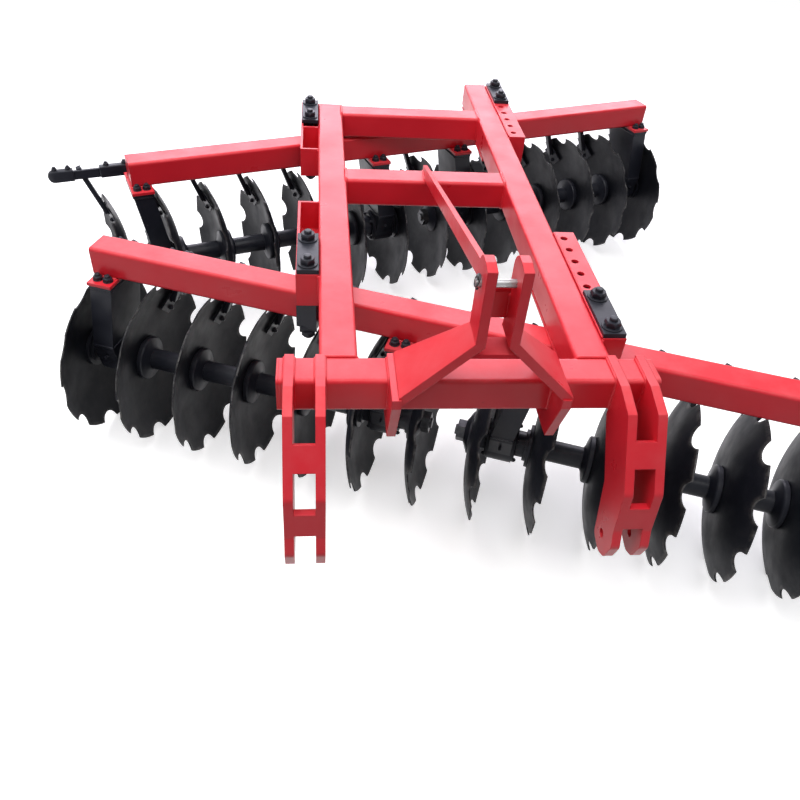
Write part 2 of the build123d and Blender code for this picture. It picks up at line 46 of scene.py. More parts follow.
# Sizes and places of the CAD source, in millimetres, and its shift to the row frame
SHIFT = np.array([-55.6, -1263.2, 0.0])
TOP, TUBE = 945.0, 110.0
HALF = TUBE / 2
RAIL_BOTTOM, BEAM_BOTTOM = TOP - TUBE, 715.0
RAIL_X = 375.0
CROSS_TUBE_FRONTS = (1234.0, 1910.0)
BOXES = ((-1, 535.0, 1047.0), (-1, 1513.0, 2036.0), (1, 200.0, 852.0), (1, 1715.0, 2362.0))
CLAMP_X, CLAMP_REACH, CLAMP_PLATE, CLAMP_BOLT = 466.0, 75.5, 16, 13.5

# Hitch: bracket plates, mast with its ears, pin and shelf, with heights above the frame's top
LINK_X, LINK_FACES = 470, (-57, -30, 30, 57)
HOOK_FACES = (-238, -212, 228, 254)
MAST, EAR_IN, EAR_OUT = 19.0, 31.0, 57.0
PIN_Y, PIN_HIGH = -45.0, 351
SHELF_LOW, SHELF_HIGH = 152, 166

# Gangs: beam, first disc, the way the hollows face and how far the bearings are moved along
FRONT = dict(centre=(-85.3, 521.5), angle=math.radians(-19.74), first=-1328.0, way=1, move=0.0)
REAR = dict(centre=(-85.3, 2041.2), angle=math.radians(19.52), first=-1291.0, way=-1, move=25.0)
FRONT.update(name="front", ends=(-1212.0, 1600.0))
REAR.update(name="rear", ends=(-1233.0, 1528.0))
GANGS = (FRONT, REAR)
DISCS, HALF_GANG, PITCH = 14, 7, 224.6
STAND_LEAN, STAND_WIDE, STAND_DEEP = 45, 84, 206

# Discs and the scraper blades in their hollows. A disc's radius is its axle's height.
AXLE, DISC_THICK, DISC_FLAT, DISH = 322.0, 6, 83.0, 61.5
NOTCHES, NOTCH, NOTCH_AT = 10, 50.0, 338.0
DISH_ARC = ((AXLE - DISC_FLAT) ** 2 + DISH**2) / (2 * DISH)
BLADE_OUT, BLADE_UP, BLADE_LIFT = 173.0, 177.0, 12
BLADE_R = math.hypot(BLADE_OUT, BLADE_UP)
BLADE_SLOPE = math.asin((BLADE_R - DISC_FLAT) / DISH_ARC)
BLADE_SHRINK = 1 - BLADE_LIFT * math.sin(BLADE_SLOPE) / BLADE_R

# Scraper bars: place behind the beam's middle, lugs, and the end past an arm on either side
BAR_BEHIND, LUG_INSET, INNER_LUGS = 156, 60, (-200, 300)
ARM_LEAN, PAST_HOLLOW, PAST_BACK = 85, 130, 50

UP = np.eye(3)
DOWN = np.diag([1.0, -1.0, -1.0])


def place(gang, s, n, z):
    """Points s along a gang's beam, n behind its middle and z above the ground."""
    s, n, z = np.broadcast_arrays(*(np.asarray(v, float) for v in (s, n, z)))
    c, d = math.cos(gang["angle"]), math.sin(gang["angle"])
    x = gang["centre"][0] + s * c - n * d
    y = gang["centre"][1] + s * d + n * c
    return np.stack([x, y, z], -1)


def basis(gang):
    """Unit vectors along a gang, to its rear side and up, as columns."""
    c, d = math.cos(gang["angle"]), math.sin(gang["angle"])
    return np.array([[c, -d, 0.0], [d, c, 0.0], [0.0, 0.0, 1.0]])


def stand_spots(gang):
    """Places along the gang of the middles of the four bearing housings."""
    k = np.array([0.5, 5.5, 7.5, 12.5])
    return gang["first"] + k * PITCH + gang["way"] * (DISC_THICK / 2) + gang["move"]


def blade_spots(gang):
    """Places along the gang of the scraper blades: past each disc by its thickness, by the depth
    of the hollow, arc (1 - cos slope), and by the lift off its face."""
    depth = DISH_ARC * (1 - math.cos(BLADE_SLOPE))
    s = gang["first"] + np.arange(DISCS) * PITCH
    return s + gang["way"] * (DISC_THICK + depth + BLADE_LIFT * math.cos(BLADE_SLOPE))


# Surfaces
def sheet(points):
    """A grid of points (rows, columns, 3) whose columns close into rings, as corners and faces."""
    rows, cols = points.shape[:2]
    i, j = np.meshgrid(np.arange(rows - 1), np.arange(cols), indexing="ij")
    k = (j + 1) % cols
    faces = np.stack([i * cols + j, i * cols + k, (i + 1) * cols + k, (i + 1) * cols + j], -1)
    return points.reshape(-1, 3), faces.reshape(-1, 4)


def copies(shape, turns, places):
    """One shape repeated with turns (k, 3, 3) or one turn (3, 3), and places (k, 3)."""
    corners, faces = shape
    places = np.asarray(places, float).reshape(-1, 3)
    turns = np.broadcast_to(turns, (len(places), 3, 3))
    many = np.einsum("kij,vj->kvi", turns, corners) + places[:, None]
    step = len(corners) * np.arange(len(places))
    return many.reshape(-1, 3), (faces[None] + step[:, None, None]).reshape(-1, 4)


def piece(name, shapes, look, body="frame", keen=35.0):
    """Joins shapes given in millimetres into one welded object on a body. Edges keener than the
    angle keen stay sharp."""
    start = np.cumsum([0] + [len(corners) for corners, _ in shapes])
    corners = (np.concatenate([c for c, _ in shapes]) + SHIFT) / 1000
    faces = np.concatenate([f + k for (_, f), k in zip(shapes, start)])
    mesh = bpy.data.meshes.new(name)
    mesh.vertices.add(len(corners))
    mesh.vertices.foreach_set("co", corners.ravel())
    mesh.loops.add(faces.size)
    mesh.loops.foreach_set("vertex_index", faces.ravel())
    mesh.polygons.add(len(faces))
    mesh.polygons.foreach_set("loop_start", 4 * np.arange(len(faces)))
    mesh.update(calc_edges=True)
    welded = bmesh.new()
    welded.from_mesh(mesh)
    bmesh.ops.remove_doubles(welded, verts=welded.verts, dist=2e-6)
    bmesh.ops.recalc_face_normals(welded, faces=welded.faces)
    welded.to_mesh(mesh)
    welded.free()
    mesh.shade_smooth()
    mesh.set_sharp_from_angle(angle=math.radians(keen))
    mesh.materials.append(look)
    obj = bpy.data.objects.new(name, mesh)
    bpy.context.scene.collection.objects.link(obj)
    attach(obj, body)
    return obj


def turned(radii, heights, sides=40):
    """Profile turned about z: a corner is (r cos t, r sin t, h) for each profile point and turn t."""
    t = np.linspace(0, 2 * np.pi, sides, endpoint=False)
    r, h = np.asarray(radii, float)[:, None], np.asarray(heights, float)[:, None]
    return sheet(np.stack([r * np.cos(t), r * np.sin(t), h + 0 * t], -1))


def fastener(across, high, washer, thread, out, sides=36):
    """Washer, six-sided nut and thread end on z. In the nut the radius at turn t is the smaller of
    the hexagon's reach, across / 2 / cos t, and a cone that cuts its corners; on the thread it
    falls and rises as a saw wave of height and turn together."""
    t = np.linspace(0, 2 * np.pi, sides, endpoint=False)
    six = across / 2 / np.cos((t + np.pi / 6) % (np.pi / 3) - np.pi / 6)
    corner, flat = across / math.sqrt(3), 0.12 * across
    seat, rim = 0.09 * across, 0.47 * across
    washer_rows = [(0, 0), (washer, 0), (washer, 0.8 * seat), (washer - 0.2 * seat, seat)]
    steps = np.linspace(0, 1, 5)
    chamfer = [(corner - k * (corner - rim), high - (1 - k**1.5) * flat) for k in steps]
    nut_rows = [(rim, seat), (corner, seat + 0.6 * flat), *chamfer]
    grows = np.linspace(high, high + out, max(4, int(out / 1.2)))
    end = high + out + 0.15 * thread
    end_rows = [(0.75 * thread, end), (0, end)]
    rows = np.array([*washer_rows, *nut_rows, *[(thread, h) for h in grows], *end_rows])
    r = np.repeat(rows[:, :1], sides, 1)
    a = len(washer_rows)
    b = a + len(nut_rows)
    r[a:b] = np.minimum(r[a:b], six)
    wave = (grows[:, None] / 2.6 + t / (2 * np.pi)) % 1.0
    r[b : b + len(grows)] -= 0.10 * thread * np.abs(2 * wave - 1)
    h = np.repeat(rows[:, 1:], sides, 1)
    return sheet(np.stack([r * np.cos(t), r * np.sin(t), h], -1))


def carried(path, half, sides=8, ripple=0.0, step=None):
    """A round of radius half carried along a path of corners and closed to a point at both ends.
    With ripple the radius at length s is half (1 + ripple |sin(pi s / 8)|), as weld ripples are."""
    path = np.asarray(path, float)
    length = np.concatenate([[0], np.cumsum(np.linalg.norm(np.diff(path, axis=0), axis=1))])
    count = max(4, int(length[-1] / (step or 0.9 * half)) + 1)
    s = np.linspace(0, length[-1], count)
    line = np.stack([np.interp(s, length, path[:, k]) for k in range(3)], -1)
    ahead = np.gradient(line, axis=0)
    ahead /= np.linalg.norm(ahead, axis=1, keepdims=True)
    side = np.cross(ahead, (0.37, 0.53, 0.76))
    side /= np.linalg.norm(side, axis=1, keepdims=True)
    rise = np.cross(ahead, side)
    r = half * (1 + ripple * np.abs(np.sin(np.pi * s / 8)))
    r = r * np.sqrt(np.clip(1 - (1 - np.clip(np.minimum(s, s[-1] - s) / half, 0, 1)) ** 2, 0, 1))
    t = np.linspace(0, 2 * np.pi, sides, endpoint=False)[None, :, None]
    ring = np.cos(t) * side[:, None] + np.sin(t) * rise[:, None]
    return sheet(line[:, None] + r[:, None, None] * ring)


def loop(origin, u, v, width, height, cut=10.0):
    """Corners of a closed rectangle with cut corners in the plane of u and v, overlapping itself."""
    a, b = width / 2, height / 2
    flat = np.array(
        [(-a, -b + cut), (-a, b - cut), (-a + cut, b), (a - cut, b), (a, b - cut), (a, -b + cut)]
        + [(a - cut, -b), (-a + cut, -b), (-a, -b + cut), (-a, -b + 2 * cut)]
    )
    return np.asarray(origin, float) + flat[:, :1] * np.asarray(u) + flat[:, 1:] * np.asarray(v)


def strap(path, across, wide, deep, nose=1.5, sides=24):
    """A bar of rounded oblong section carried straight along a path: at turn t the section is
    wide/2 and deep/2 times the fourth root of |cos t| and |sin t|. Both ends close as the sine of
    a quarter turn, over the length nose at the start and 1.5 at the far end."""
    path = np.asarray(path, float)
    run = path[1] - path[0]
    length = np.linalg.norm(run)
    ahead = run / length
    side = np.asarray(across, float) - ahead * np.dot(across, ahead)
    side /= np.linalg.norm(side)
    over = np.cross(ahead, side)
    t = np.linspace(0, 2 * np.pi, sides, endpoint=False)
    c, d = np.cos(t), np.sin(t)
    ring = (wide / 2) * (np.sign(c) * np.abs(c) ** 0.25)[:, None] * side
    ring = ring + (deep / 2) * (np.sign(d) * np.abs(d) ** 0.25)[:, None] * over
    q = np.linspace(0, np.pi / 2, 5)
    s = np.concatenate([nose * (1 - np.cos(q)), length - 1.5 * (1 - np.cos(q[::-1]))])
    grow = np.concatenate([np.sin(q), np.sin(q[::-1])])
    return sheet(path[0] + s[:, None, None] * ahead + grow[:, None, None] * ring)


# Materials
class Paint:
    """A principled material and short calls for the nodes that feed it."""

    def __init__(self, name):
        self.mat = bpy.data.materials.new(name)
        self.mat.use_nodes = True
        self.tree = self.mat.node_tree
        self.tree.nodes.clear()
        self.out = self.tree.nodes.new("ShaderNodeOutputMaterial")
        self.bsdf = self.tree.nodes.new("ShaderNodeBsdfPrincipled")
        self.tree.links.new(self.bsdf.outputs[0], self.out.inputs[0])
        self.coord = self.tree.nodes.new("ShaderNodeTexCoord").outputs["Object"]

    def put(self, socket, value):
        """Links a socket or writes a plain value into it."""
        if isinstance(value, bpy.types.NodeSocket):
            self.tree.links.new(value, socket)
        else:
            socket.default_value = value

    def set(self, **values):
        """Feeds the shader's inputs, with _ for the spaces in their names."""
        for key, value in values.items():
            self.put(self.bsdf.inputs[key.replace("_", " ")], value)

    def math(self, kind, a, b=0.0, clamp=False):
        n = self.tree.nodes.new("ShaderNodeMath")
        n.operation = kind
        n.use_clamp = clamp
        self.put(n.inputs[0], a)
        self.put(n.inputs[1], b)
        return n.outputs[0]

    def noise(self, scale, detail=3.0, rough=0.55):
        n = self.tree.nodes.new("ShaderNodeTexNoise")
        self.put(n.inputs["Vector"], self.coord)
        n.inputs["Scale"].default_value = scale
        n.inputs["Detail"].default_value = detail
        n.inputs["Roughness"].default_value = rough
        return n.outputs["Fac"]

    def span(self, value, low, high, to_low=0.0, to_high=1.0):
        """The range low to high stretched to another one and held at its ends."""
        n = self.tree.nodes.new("ShaderNodeMapRange")
        self.put(n.inputs["Value"], value)
        ends = {"From Min": low, "From Max": high, "To Min": to_low, "To Max": to_high}
        for key, number in ends.items():
            n.inputs[key].default_value = number
        return n.outputs["Result"]

    def mix(self, factor, a, b):
        n = self.tree.nodes.new("ShaderNodeMix")
        n.data_type = "RGBA"
        self.put(n.inputs["Factor"], factor)
        for socket, value in ((n.inputs[6], a), (n.inputs[7], b)):
            self.put(socket, (*value, 1.0) if isinstance(value, tuple) else value)
        return n.outputs[2]

    def split(self, vector):
        n = self.tree.nodes.new("ShaderNodeSeparateXYZ")
        self.put(n.inputs[0], vector)
        return n.outputs

    def squares(self, a, b):
        """a a + b b."""
        return self.math("ADD", self.math("MULTIPLY", a, a), self.math("MULTIPLY", b, b))

    def up(self):
        """How far a face looks up, from 0 to 1."""
        geometry = self.tree.nodes.new("ShaderNodeNewGeometry")
        return self.math("MAXIMUM", self.split(geometry.outputs["Normal"])["Z"], 0.0)

    def bevel(self, radius):
        """Normal that rounds the edges by this radius."""
        n = self.tree.nodes.new("ShaderNodeBevel")
        n.samples = 4
        n.inputs["Radius"].default_value = radius
        return n.outputs[0]

    def bump(self, height, strength, distance, under=None):
        n = self.tree.nodes.new("ShaderNodeBump")
        n.inputs["Strength"].default_value = strength
        n.inputs["Distance"].default_value = distance
        self.put(n.inputs["Height"], height)
        if under is not None:
            self.put(n.inputs["Normal"], under)
        return n.outputs[0]

    def mapped(self, location, turn):
        """Object coordinates measured from a place and turned about z."""
        n = self.tree.nodes.new("ShaderNodeMapping")
        n.vector_type = "TEXTURE"
        self.put(n.inputs["Vector"], self.coord)
        n.inputs["Location"].default_value = location
        n.inputs["Rotation"].default_value = (0.0, 0.0, turn)
        return n.outputs[0]


def red_paint(name, smooth, rough_end, coat):
    """Red paint with slow changes of tone, a pale pink film on faces that look up that is dust and
    painted sheen, and dark marks.
    """
    p = Paint(name)
    tone = p.span(p.noise(1.7, 4.0), 0.3, 0.7)
    red = p.mix(tone, (0.60, 0.014, 0.026), (0.72, 0.024, 0.040))
    # Faces that look up get a pale pink film: partly dust, partly a painted sheen in the pink that
    # the sky's reflection gives the tops
    film = p.math("MULTIPLY", p.up(), p.span(p.noise(5.0, 8.0, 0.65), 0.40, 0.72), clamp=True)
    up_tinted = p.mix(p.math("MULTIPLY", film, 0.14), red, (0.80, 0.40, 0.41))
    marks = p.span(p.noise(16.0, 6.0, 0.7), 0.66, 0.74)
    worn = p.mix(p.math("MULTIPLY", marks, 0.40), up_tinted, (0.30, 0.012, 0.020))
    p.set(Base_Color=worn)
    rough = p.span(p.noise(7.0, 5.0), 0.3, 0.7, smooth, rough_end)
    p.set(Roughness=p.math("ADD", rough, p.math("MULTIPLY", film, 0.16)))
    p.set(Coat_Weight=coat, Coat_Roughness=0.16, Specular_IOR_Level=0.25)
    wave = p.bump(p.noise(14.0, 2.0), 0.10, 0.004, p.bevel(0.004))
    p.set(Normal=p.bump(p.noise(260.0, 2.0), 0.06, 0.0008, wave))
    return p.mat


def black_paint(name, dark, light, rough):
    """Satin black paint with dust on faces that look up, pale chips and a cast grain."""
    p = Paint(name)
    tone = p.span(p.noise(4.0, 5.0), 0.3, 0.7)
    base = p.mix(tone, dark, light)
    film = p.math("MULTIPLY", p.up(), p.span(p.noise(11.0, 7.0, 0.65), 0.42, 0.70), clamp=True)
    up_tinted = p.mix(p.math("MULTIPLY", film, 0.16), base, (0.15, 0.145, 0.15))
    chips = p.span(p.noise(42.0, 4.0, 0.7), 0.70, 0.74)
    p.set(Base_Color=p.mix(p.math("MULTIPLY", chips, 0.4), up_tinted, (0.13, 0.125, 0.12)))
    p.set(Roughness=p.span(p.noise(9.0, 4.0), 0.3, 0.7, rough - 0.08, rough + 0.12))
    p.set(Coat_Weight=0.04, Coat_Roughness=0.2, Specular_IOR_Level=0.17)
    cast = p.bump(p.noise(22.0, 3.0), 0.14, 0.004, p.bevel(0.003))
    p.set(Normal=p.bump(p.noise(300.0, 2.0), 0.10, 0.0008, cast))
    return p.mat


def disc_paint(gang):
    """Black paint on turned steel: rings follow the distance r from the gang's own axle, and a
    paler ground edge follows the nearer of the rim and the notches. A notch centre stands at c from
    the axle, so by the cosine rule it is sqrt(r r + c c - 2 r c cos a) away at the turn a from it."""
    p = Paint("disc_" + gang["name"])
    x, y = (np.array(gang["centre"]) + SHIFT[:2]) / 1000
    rim, notch, notch_at = AXLE / 1000, NOTCH / 1000, NOTCH_AT / 1000
    half_step = math.pi / NOTCHES
    axes = p.split(p.mapped((x, y, AXLE / 1000), gang["angle"]))
    across, high = axes["Y"], axes["Z"]
    square = p.squares(across, high)
    radius = p.math("SQRT", square)
    turn = p.math("ADD", p.math("ARCTAN2", high, across), half_step)
    turn = p.math("SUBTRACT", p.math("FLOORED_MODULO", turn, 2 * half_step), half_step)
    cosine = p.math("MULTIPLY", p.math("MULTIPLY", radius, 2 * notch_at), p.math("COSINE", turn))
    away = p.math("SQRT", p.math("SUBTRACT", p.math("ADD", square, notch_at**2), cosine))
    inside = p.math("MINIMUM", p.math("SUBTRACT", away, notch), p.math("SUBTRACT", rim, radius))
    ground = p.span(inside, 0.014, 0.003)
    tone = p.span(p.noise(5.0, 6.0, 0.6), 0.3, 0.7)
    base = p.mix(tone, (0.0045, 0.005, 0.008), (0.013, 0.014, 0.019))
    haze = p.span(p.noise(9.0, 8.0, 0.7), 0.52, 0.72)
    hazy = p.mix(p.math("MULTIPLY", haze, 0.16), base, (0.07, 0.07, 0.075))
    edge = p.math("MULTIPLY", ground, p.span(p.noise(30.0, 6.0, 0.7), 0.40, 0.60), clamp=True)
    p.set(Base_Color=p.mix(p.math("MULTIPLY", edge, 0.5), hazy, (0.13, 0.125, 0.12)))
    p.set(Metallic=p.math("MULTIPLY", edge, 0.5))
    p.set(Roughness=p.span(p.noise(8.0, 5.0), 0.3, 0.7, 0.34, 0.58))
    p.set(Coat_Weight=0.02, Coat_Roughness=0.25, Specular_IOR_Level=0.12)
    rings = p.math("SINE", p.math("MULTIPLY", radius, 1400.0))
    turned_marks = p.bump(rings, 0.05, 0.0006, p.bevel(0.002))
    p.set(Normal=p.bump(p.noise(26.0, 4.0), 0.12, 0.004, turned_marks))
    return p.mat


def steel(name, dark, light, rough):
    """Bare or oiled steel with brown stains and a fine grain."""
    p = Paint(name)
    tone = p.span(p.noise(30.0, 6.0, 0.65), 0.3, 0.7)
    stain = p.span(p.noise(75.0, 5.0, 0.7), 0.60, 0.72)
    bare = p.mix(tone, dark, light)
    p.set(Base_Color=p.mix(p.math("MULTIPLY", stain, 0.4), bare, (0.10, 0.075, 0.055)))
    p.set(Metallic=0.9)
    p.set(Roughness=p.span(p.noise(50.0, 4.0), 0.3, 0.7, rough - 0.08, rough + 0.14))
    p.set(Normal=p.bump(p.noise(420.0, 3.0), 0.12, 0.0006))
    return p.mat


RED = red_paint("red_paint", smooth=0.26, rough_end=0.42, coat=0.08)
MATT_RED = red_paint("red_paint_matt", smooth=0.62, rough_end=0.78, coat=0.0)
BLACK = black_paint("black_paint", (0.012, 0.013, 0.020), (0.024, 0.026, 0.036), rough=0.36)
DARK = steel("dark_steel", (0.035, 0.036, 0.040), (0.085, 0.086, 0.092), rough=0.40)
BARE = steel("bare_steel", (0.26, 0.26, 0.26), (0.40, 0.40, 0.41), rough=0.30)
DISC = {"front": disc_paint(FRONT), "rear": disc_paint(REAR)}

SLOT_OF = {entry["node"]: entry["material_slot"] for entry in frame["record"]["subparts"]}
BY_SLOT = {"red_paint": RED, "black_paint": BLACK, "dark_steel": DARK, "bare_steel": BARE}
for name, obj in nodes.items():
    slot = SLOT_OF[name]
    look = DISC[name.split("_")[0]] if slot == "disc_black" else BY_SLOT[slot]
    obj.data.materials.clear()
    obj.data.materials.append(look)

# Clamp bolts: shank with a nut on a washer at both ends
clamp_at = []
for x in (-CLAMP_X, CLAMP_X):
    for gang in GANGS:
        middle = gang["centre"][1] + (x - gang["centre"][0]) * math.tan(gang["angle"])
        reach = CLAMP_REACH / math.cos(gang["angle"])
        clamp_at += [(x, middle - reach, 0.0), (x, middle + reach, 0.0)]
clamp_at = np.array(clamp_at)
bolt_low, bolt_high = BEAM_BOTTOM - CLAMP_PLATE, TOP + CLAMP_PLATE
shank = turned([0, CLAMP_BOLT, CLAMP_BOLT, 0], [bolt_low, bolt_low, bolt_high, bolt_high])
upper_nut = fastener(across=46, high=24, washer=33, thread=CLAMP_BOLT, out=8, sides=48)
lower_nut = fastener(across=46, high=24, washer=29, thread=CLAMP_BOLT, out=8, sides=48)
bolt_set = piece(
    "clamp_bolt_set",
    [
        copies(shank, UP, clamp_at),
        copies(upper_nut, UP, clamp_at + (0, 0, bolt_high)),
        copies(lower_nut, DOWN, clamp_at + (0, 0, bolt_low)),
    ],
    BLACK,
)
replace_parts(bolt_set, "clamp_bolts")

# Bolts through the stand plates, in front of and behind the beams
stand_bolt = fastener(across=30, high=16, washer=18, thread=10, out=8)
pairs = [(-20, -77), (20, -77), (-20, 77), (20, 77)]
stand_at = [
    place(gang, stand_spots(gang) + STAND_LEAN * gang["way"] + ds, n, BEAM_BOTTOM)
    for gang in GANGS
    for ds, n in pairs
]
piece("stand_bolts", [copies(stand_bolt, UP, np.concatenate(stand_at))], BLACK)

# Welds, each a path and half the bead's width: first the red frame, brackets and mast
BROAD, PLAIN, SLIM, FINE = 5.0, 4.5, 4.0, 3.5
red_welds = []
for x in (-RAIL_X, RAIL_X):
    red_welds.append((loop((x, TUBE, TOP - HALF), (1, 0, 0), (0, 0, 1), TUBE, TUBE), BROAD))
for y in CROSS_TUBE_FRONTS:
    for x in (HALF - RAIL_X, RAIL_X - HALF):
        around = loop((x, y + HALF, TOP - HALF), (0, 1, 0), (0, 0, 1), TUBE, TUBE)
        red_welds.append((around, BROAD))
plate_faces = [side * LINK_X + off for side in (-1, 1) for off in LINK_FACES]
for x in (*plate_faces, *HOOK_FACES):
    over = [(x, 106, TOP + 1), (x, 10, TOP + 1), (x, 1, TOP - 8), (x, 0, RAIL_BOTTOM + 4)]
    red_welds.append((over, PLAIN))
for sign in (-1, 1):
    foot = MAST + sign * 220
    red_welds.append(([(foot, 4, TOP + 1), (foot, 90, TOP + 1)], PLAIN))
    red_welds.append(([(MAST + sign * 55, y, TOP + SHELF_HIGH) for y in (-86, -20)], SLIM))
    red_welds.append(([(MAST + sign * EAR_IN, -13, TOP + z) for z in (229, 303)], PLAIN))
for x in (-34.0, -17.0):
    red_welds.append(([(x, 6, TOP + 336), (x, 6, TOP + 382)], SLIM))
for x in (-8.5, 8.5):
    red_welds.append(([(x + 2, 1246, TOP), (x + 4, 1340, TOP)], PLAIN))
for sign, low, high in BOXES:
    wall = sign * (RAIL_X + HALF)
    for y in (low, high):
        red_welds.append(([(wall, y, RAIL_BOTTOM + 2), (wall, y, TOP - 2)], PLAIN))
    if sign > 0:
        red_welds.append(([(wall, low + 4, TOP), (wall, high - 4, TOP)], FINE))

# Then the stand plates under the beams in red, and the stands and scraper lugs in black
black_welds = []
for gang in GANGS:
    along, rear, _ = basis(gang).T
    for s in stand_spots(gang):
        top_s = s + STAND_LEAN * gang["way"]
        for n in (-HALF - 1, HALF + 1):
            red_welds.append((place(gang, [top_s - 44, top_s + 44], n, BEAM_BOTTOM), PLAIN))
        head, foot = place(gang, top_s, 0, BEAM_BOTTOM - 26), place(gang, s, 0, AXLE + 97)
        black_welds.append((loop(head, along, rear, STAND_WIDE, STAND_DEEP, 5), PLAIN))
        black_welds.append((loop(foot, along, rear, STAND_WIDE, STAND_DEEP, 5), SLIM))
    for s in (gang["ends"][0] + LUG_INSET, *INNER_LUGS, gang["ends"][1] - LUG_INSET):
        for n in (HALF + 1, 149):
            black_welds.append((place(gang, [s - 28, s + 28], n, 729), FINE))
for name, welds, look, slot in (
    ("red_welds", red_welds, RED, "red_paint"),
    ("black_welds", black_welds, BLACK, "black_paint"),
):
    beads = [carried(path, half, sides=8, ripple=0.16) for path, half in welds]
    piece(name, beads, look, keen=60.0)

# Bearing covers with four bolts, and a grease nipple on each housing
HOUSING_HALF, COVER_HIGH, BOLT_CIRCLE = 48, 6, 65
covers = []
cover = turned([55, 73, 73, 68, 60, 55, 55], [0, 0, 5, 8, 8, 6, 0], 48)
quarter = np.radians([45, 135, 225, 315])
cover_bolt = fastener(across=15, high=8, washer=9, thread=5, out=3, sides=18)
nipple = turned([0, 6, 6, 3.5, 3.5, 5, 3.5, 0], [0, 0, 5, 6, 11, 13, 17, 17], 18)
for gang in GANGS:
    along, rear, up = basis(gang).T
    s = stand_spots(gang)
    for way in (-1, 1):
        facing = np.stack([rear * way, up, along * way], -1)
        covers.append(copies(cover, facing, place(gang, s + way * HOUSING_HALF, 0, AXLE)))
        seat = s + way * (HOUSING_HALF + COVER_HIGH)
        for q in quarter:
            n, z = BOLT_CIRCLE * math.cos(q), AXLE + BOLT_CIRCLE * math.sin(q)
            covers.append(copies(cover_bolt, facing, place(gang, seat, n, z)))
    ahead = np.stack([along, up, -rear], -1)
    ahead[:, 0] *= np.sign(np.linalg.det(ahead))
    covers.append(copies(nipple, ahead, place(gang, s, -91, AXLE + 44)))
piece("bearing_covers", covers, BLACK)

# Bolts of the scraper blades: each blade stands square to the hollow face at r from the axle
blade_bolts = []
blade_bolt = fastener(across=19, high=9, washer=12, thread=6, out=4, sides=18)
for gang in GANGS:
    along, rear, up = basis(gang).T
    inwards = (rear * BLADE_OUT + up * BLADE_UP) * math.sin(BLADE_SLOPE) / BLADE_R
    normal = along * gang["way"] * math.cos(BLADE_SLOPE) - inwards
    across = (up * BLADE_OUT - rear * BLADE_UP) / BLADE_R
    level = np.cross(normal, across)
    n, z = BLADE_OUT * BLADE_SHRINK, AXLE + BLADE_UP * BLADE_SHRINK
    seat = place(gang, blade_spots(gang), n, z) + normal * 3 - across * 20
    facing = np.stack([across, level, normal], -1)
    for side in (-24, 24):
        blade_bolts.append(copies(blade_bolt, facing, seat + level * side))
piece("blade_bolts", blade_bolts, BLACK)

# Linchpin with its spring ring in the left end of the top link pin
pin_end = np.array([MAST - EAR_OUT - 8, PIN_Y, TOP + PIN_HIGH])
t = np.linspace(0, 2 * np.pi, 49)[:, None]
ring = pin_end + (-2, 0, 8) + 16 * (np.cos(t) * (0.30, 0, 0.954) + np.sin(t) * (0, 1, 0))
piece(
    "linchpin",
    [
        carried(pin_end + np.outer([-20, 20], (0, 0, 1)), 4.0, 14, step=2.0),
        carried(pin_end + np.outer([14, 26], (0, 0, 1)), 6.5, 16, step=1.5),
        carried(ring, 2.0, 10, step=1.5),
    ],
    DARK,
)

# Bell ends of the plain spools, on the gangs that turn
bell = turned([42, 42, 50, 66, 84, 88, 88, 85, 42], [2, 36, 31, 27, 22, 17, 3, 0.5, 0.5], 48)
for gang in GANGS:
    along, rear, up = basis(gang).T
    near, far = (DISC_THICK, 0) if gang["way"] > 0 else (0, -DISC_THICK)
    for half, side in ((0, "left"), (HALF_GANG, "right")):
        hubs = gang["first"] + (half + np.arange(1, 5)) * PITCH
        ahead, astern = np.stack([rear, up, along], -1), np.stack([-rear, up, -along], -1)
        bells = [
            copies(bell, ahead, place(gang, hubs + near, 0, AXLE)),
            copies(bell, astern, place(gang, hubs + PITCH + far, 0, AXLE)),
        ]
        name = gang["name"] + "_" + side
        piece(name + "_bells", bells, BLACK, name + "_gang")

# Scraper arms, and two bolted clips at both ends of the scraper bars. A clip has its start from
# the bar's tip, its length and the length of its rounded end.
CLIPS = ((-12, 108, 26), (205, 130, 4))
ARM_BEHIND, CLIP_Z, CLIP_TOP = 177, 712, 737.5
arms, clips, clip_nuts = [], [], []
clip_bolt = fastener(across=22, high=11, washer=14, thread=7, out=6, sides=24)
for gang in GANGS:
    along, rear, up = basis(gang).T
    way = gang["way"]
    s = blade_spots(gang)
    feet = place(gang, s + 11 * way, ARM_BEHIND, AXLE + BLADE_UP * BLADE_SHRINK + 4)
    heads = place(gang, s + 96 * way, ARM_BEHIND, 733)
    arms += [strap(ends, along, wide=22, deep=33) for ends in zip(feet, heads)]
    past_low, past_high = (PAST_BACK, PAST_HOLLOW) if way > 0 else (PAST_HOLLOW, PAST_BACK)
    low, high = s[0] + way * ARM_LEAN - past_low, s[-1] + way * ARM_LEAN + past_high
    facing = np.stack([along, rear, up], -1)
    for tip, inwards in ((low, 1), (high, -1)):
        for start, span, nose in CLIPS:
            a, b = tip + inwards * start, tip + inwards * (start + span)
            run = place(gang, [a, b], BAR_BEHIND, CLIP_Z)
            clips.append(strap(run, rear, wide=34, deep=52, nose=nose))
            spots = place(gang, [a + inwards * 32, b - inwards * 20], BAR_BEHIND, CLIP_TOP)
            clip_nuts.append(copies(clip_bolt, facing, spots))
piece("scraper_arms", arms, BLACK)
piece("scraper_straps", clips + clip_nuts, BLACK)

